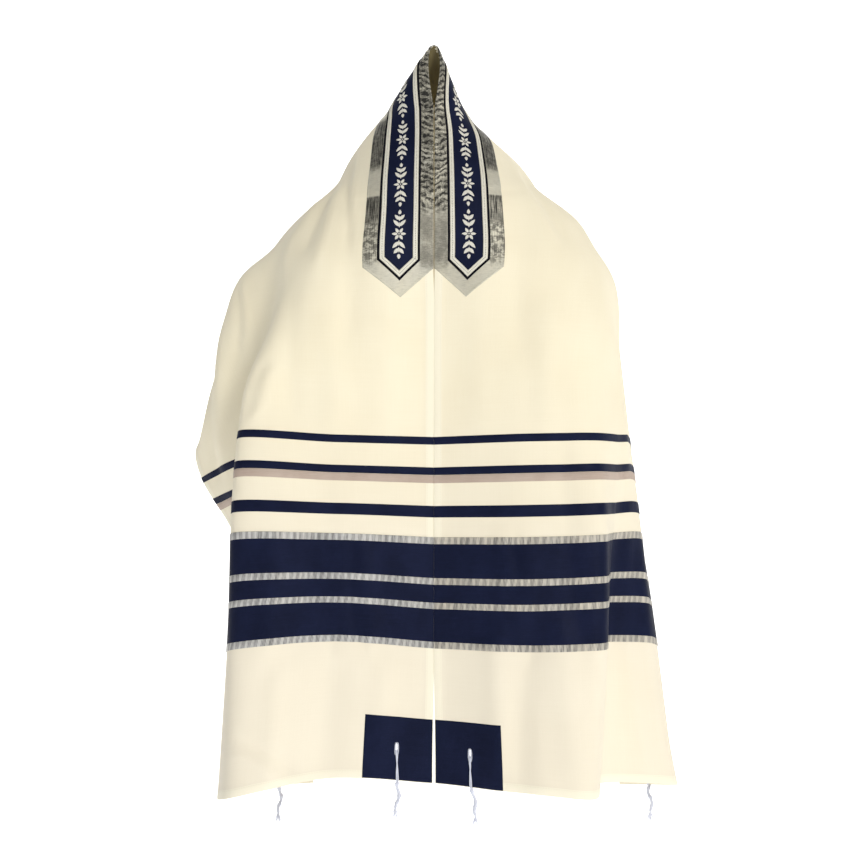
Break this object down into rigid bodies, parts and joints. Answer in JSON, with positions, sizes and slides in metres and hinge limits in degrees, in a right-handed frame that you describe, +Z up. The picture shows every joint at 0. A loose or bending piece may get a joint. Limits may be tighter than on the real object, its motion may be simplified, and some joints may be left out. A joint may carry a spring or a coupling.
{
  "type": "tallit prayer shawl",
  "caption": "Cream tallit prayer shawl hung from its neck edge, with a navy and silver neckband, navy bands and corner tassels.",
  "frame": {"origin": "the peak: the middle of the neck edge, where the shawl is held up", "axes": "+Z up, the front, where the two ends hang side by side, faces -Y, +X towards the right as seen from the front"},
  "size_m": [0.6572, 0.3455, 1.0704],
  "materials": {
    "cream_wool": "matt plain weave",
    "navy_silk": "soft satin sheen",
    "taupe_silk": "soft satin sheen",
    "silver_ribbon": "metallic thread, fine cross ribs",
    "silver_brocade": "metallic brocade, mottled",
    "tassel_cord": "twisted wool cord"
  },
  "bodies": {
    "root": {"shawl_cloth": "cream_wool", "neckband_base": "silver_brocade", "neckband_ribbon": "navy_silk", "navy_stripe_upper_left": "navy_silk", "navy_stripe_middle_left": "navy_silk", "taupe_stripe_left": "taupe_silk", "navy_stripe_lower_left": "navy_silk", "navy_band_left": "navy_silk", "silver_ribbon_top_left": "silver_ribbon", "silver_ribbon_upper_left": "silver_ribbon", "silver_ribbon_lower_left": "silver_ribbon", "silver_ribbon_bottom_left": "silver_ribbon", "navy_stripe_upper_right": "navy_silk", "navy_stripe_middle_right": "navy_silk", "taupe_stripe_right": "taupe_silk", "navy_stripe_lower_right": "navy_silk", "navy_band_right": "navy_silk", "silver_ribbon_top_right": "silver_ribbon", "silver_ribbon_upper_right": "silver_ribbon", "silver_ribbon_lower_right": "silver_ribbon", "silver_ribbon_bottom_right": "silver_ribbon", "corner_patch_front_left": "navy_silk", "corner_patch_front_right": "navy_silk", "corner_patch_back_left": "navy_silk", "corner_patch_back_right": "navy_silk", "tassel_front_left": "tassel_cord", "tassel_front_right": "tassel_cord", "tassel_back_left": "tassel_cord", "tassel_back_right": "tassel_cord"}
  },
  "joints": []
}
